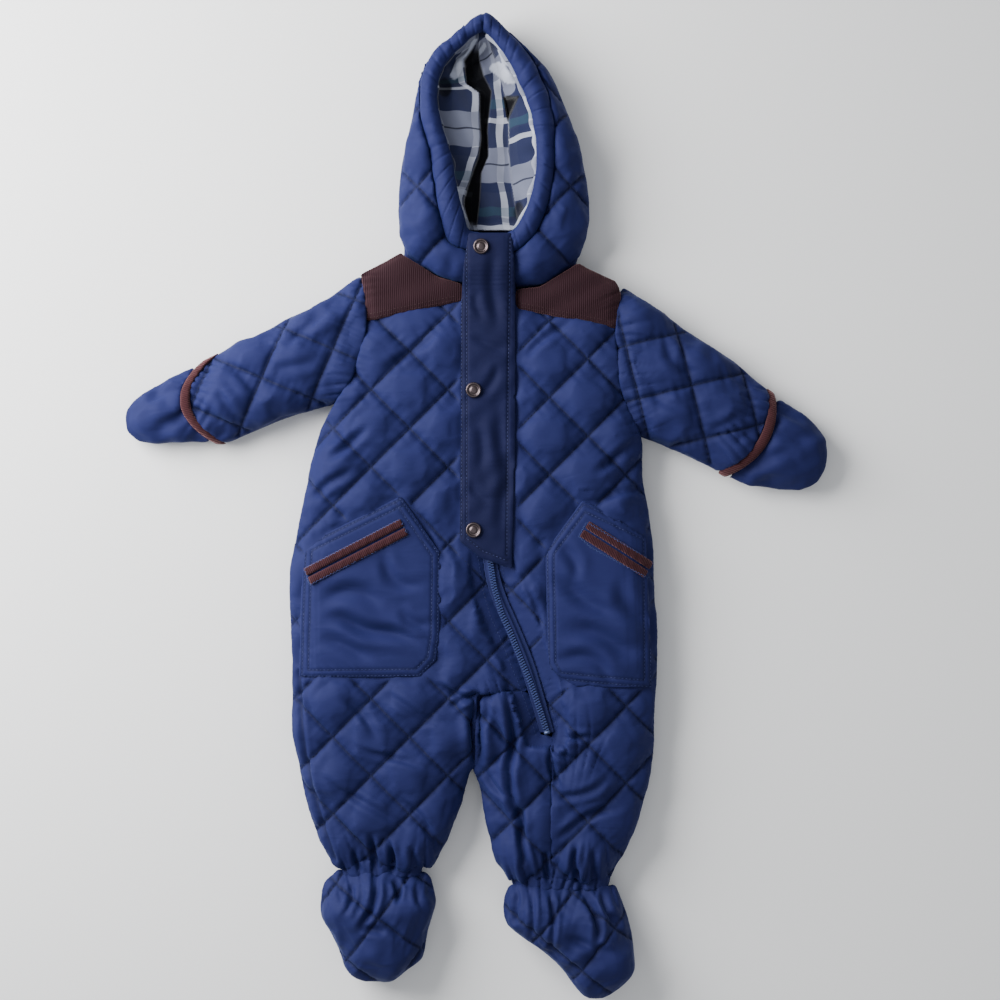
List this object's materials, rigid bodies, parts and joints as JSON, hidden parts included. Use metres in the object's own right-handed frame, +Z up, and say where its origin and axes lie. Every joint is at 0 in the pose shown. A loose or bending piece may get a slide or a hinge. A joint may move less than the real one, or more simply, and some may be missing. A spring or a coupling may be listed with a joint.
{
  "type": "baby snowsuit",
  "caption": "Quilted baby snowsuit with a lined hood, shoulder yokes, patch pockets, fold-over mitts and padded feet, laid flat on its back with its front closed.",
  "frame": {"origin": "centre of the bounding box at the surface the snowsuit lies on", "axes": "+Y towards the hood's peak, +X towards the wearer's left side, +Z up from the surface through the front"},
  "size_m": [0.562, 0.784, 0.0503],
  "materials": {
    "quilted_shell": "satin",
    "corduroy": "matte",
    "check_lining": "matte",
    "zip_tape": "matte",
    "snap_metal": "satin"
  },
  "bodies": {
    "root": {"front_right": "quilted_shell", "front_left": "quilted_shell", "inner_leg_left": "quilted_shell", "back_right": "quilted_shell", "back_left": "quilted_shell", "sleeve_right": "quilted_shell", "sleeve_left": "quilted_shell", "mitt_right": "quilted_shell", "mitt_left": "quilted_shell", "hood_right": "quilted_shell", "hood_left": "quilted_shell", "hood_back": "quilted_shell", "hood_casing_right": "quilted_shell", "hood_casing_left": "quilted_shell", "placket": "quilted_shell", "pocket_right": "quilted_shell", "pocket_left": "quilted_shell", "foot_right": "quilted_shell", "foot_left": "quilted_shell", "sole_right": "quilted_shell", "sole_left": "quilted_shell", "ankle_right": "quilted_shell", "ankle_left": "quilted_shell", "yoke_right": "corduroy", "yoke_left": "corduroy", "mitt_trim_right": "corduroy", "mitt_trim_left": "corduroy", "welt_upper_right": "corduroy", "welt_lower_right": "corduroy", "welt_upper_left": "corduroy", "welt_lower_left": "corduroy", "hood_lining": "check_lining", "zip_tape": "zip_tape", "snap_top": "snap_metal", "snap_middle": "snap_metal", "snap_bottom": "snap_metal"}
  },
  "joints": []
}
